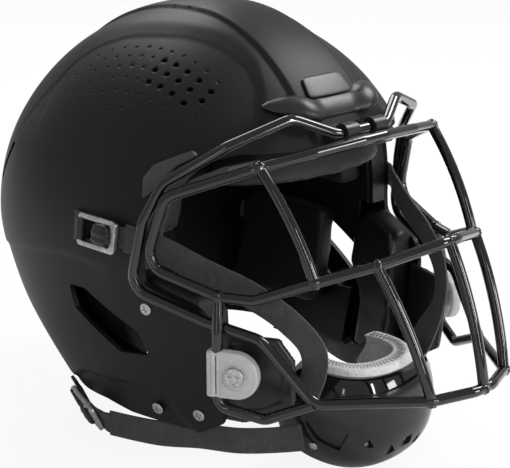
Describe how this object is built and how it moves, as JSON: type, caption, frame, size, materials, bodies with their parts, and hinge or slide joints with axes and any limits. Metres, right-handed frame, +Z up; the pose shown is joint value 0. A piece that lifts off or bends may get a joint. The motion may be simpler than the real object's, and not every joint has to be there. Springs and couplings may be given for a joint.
{
  "type": "american football helmet",
  "caption": "American football helmet with padded shell, welded steel face mask on brow clips and quarter-turn side clips, and a padded chin cup on four buckled straps.",
  "frame": {"origin": "centre of the underside of the bounding box, level with the lowest point of the chin cup", "axes": "+X to the wearer's left, -Y out of the face, +Z up"},
  "size_m": [0.2554, 0.3926, 0.2792],
  "materials": {
    "shell": "satin charcoal",
    "inner_plastic": "matte",
    "column": "matte",
    "bumper": "matte",
    "plate": "satin",
    "liner": "soft coated",
    "cup_fabric": "quilted fabric",
    "guard_strip": "satin light grey",
    "black_plastic": "satin black",
    "anchor_plastic": "satin",
    "satin_steel": "satin nickel",
    "webbing": "woven",
    "mask_coating": "gloss black coating",
    "clear_clip": "frosted clear",
    "cup_plastic": "gloss charcoal"
  },
  "bodies": {
    "helmet": {"brow_clips": "black_plastic", "brow_guards": "guard_strip", "bumper_plate": "plate", "clip_bases": "black_plastic", "crown_pad": "liner", "edge_trim": "bumper", "front_bumper": "bumper", "front_pad": "liner", "impact_columns": "column", "inner_shell": "inner_plastic", "jaw_guard_l": "black_plastic", "jaw_guard_r": "black_plastic", "jaw_pad_l": "liner", "jaw_pad_r": "liner", "lower_anchor_l": "anchor_plastic", "lower_anchor_r": "anchor_plastic", "nape_pad": "liner", "outer_shell": "shell", "rear_bumper": "bumper", "rear_pad": "liner", "shell_screws": "satin_steel", "side_pad_l": "liner", "side_pad_r": "liner", "temple_guards": "guard_strip", "upper_anchor_l": "anchor_plastic", "upper_anchor_r": "anchor_plastic"},
    "facemask": {"mask_centre_bar": "mask_coating", "mask_chin_bars": "mask_coating", "mask_eye_bars": "mask_coating", "mask_inner_ring": "mask_coating", "mask_outer_ring": "mask_coating", "mask_side_posts": "mask_coating", "side_clip_l": "clear_clip", "side_clip_r": "clear_clip"},
    "chin_cup": {"chin_cup_pad": "cup_fabric", "chin_cup_shell": "cup_plastic", "cup_rivets": "satin_steel", "lower_strap_l": "webbing", "lower_strap_r": "webbing", "upper_strap_l": "webbing", "upper_strap_r": "webbing"},
    "clip_bolt_body_l": {"clip_bolt_l": "satin_steel"},
    "clip_bolt_body_r": {"clip_bolt_r": "satin_steel"},
    "lower_buckle_body_l": {"lower_buckle_l": "satin_steel", "lower_cam_l": "black_plastic", "lower_loop_l": "webbing"},
    "lower_buckle_body_r": {"lower_buckle_r": "satin_steel", "lower_cam_r": "black_plastic", "lower_loop_r": "webbing"},
    "upper_buckle_body_l": {"upper_buckle_l": "satin_steel", "upper_cam_l": "black_plastic", "upper_loop_l": "webbing"},
    "upper_buckle_body_r": {"upper_buckle_r": "satin_steel", "upper_cam_r": "black_plastic", "upper_loop_r": "webbing"}
  },
  "joints": [
    {"name": "mask_swing", "type": "hinge", "parent": "helmet", "child": "facemask", "pos_m": [0, -0.09495, 0.216], "axis": [-1, 0, 0], "range_deg": [0, 75]},
    {"name": "chin_cup_swing", "type": "hinge", "parent": "helmet", "child": "chin_cup", "pos_m": [0, 0.013, 0.095], "axis": [1, 0, 0], "range_deg": [-8, 20], "deforming": ["upper_strap_r", "upper_strap_l", "lower_strap_r", "lower_strap_l"]},
    {"name": "upper_buckle_swing_r", "type": "hinge", "parent": "helmet", "child": "upper_buckle_body_r", "pos_m": [-0.1228, 0.02331, 0.15434], "axis": [-0.1235, 0, -0.9923], "range_deg": [0, 30]},
    {"name": "upper_buckle_swing_l", "type": "hinge", "parent": "helmet", "child": "upper_buckle_body_l", "pos_m": [0.1228, 0.02331, 0.15434], "axis": [-0.1235, 0, 0.9923], "range_deg": [0, 30]},
    {"name": "lower_buckle_swing_r", "type": "hinge", "parent": "helmet", "child": "lower_buckle_body_r", "pos_m": [-0.1016, 0.05964, 0.02594], "axis": [0.4585, 0, -0.8887], "range_deg": [0, 30]},
    {"name": "lower_buckle_swing_l", "type": "hinge", "parent": "helmet", "child": "lower_buckle_body_l", "pos_m": [0.1016, 0.05964, 0.02594], "axis": [0.4585, 0, 0.8887], "range_deg": [0, 30]},
    {"name": "clip_bolt_turn_r", "type": "hinge", "parent": "facemask", "child": "clip_bolt_body_r", "pos_m": [-0.09923, -0.08825, 0.08345], "axis": [-0.891, -0.454, 0], "range_deg": [0, 90]},
    {"name": "clip_bolt_turn_l", "type": "hinge", "parent": "facemask", "child": "clip_bolt_body_l", "pos_m": [0.09923, -0.08825, 0.08345], "axis": [0.891, -0.454, 0], "range_deg": [0, 90]}
  ]
}
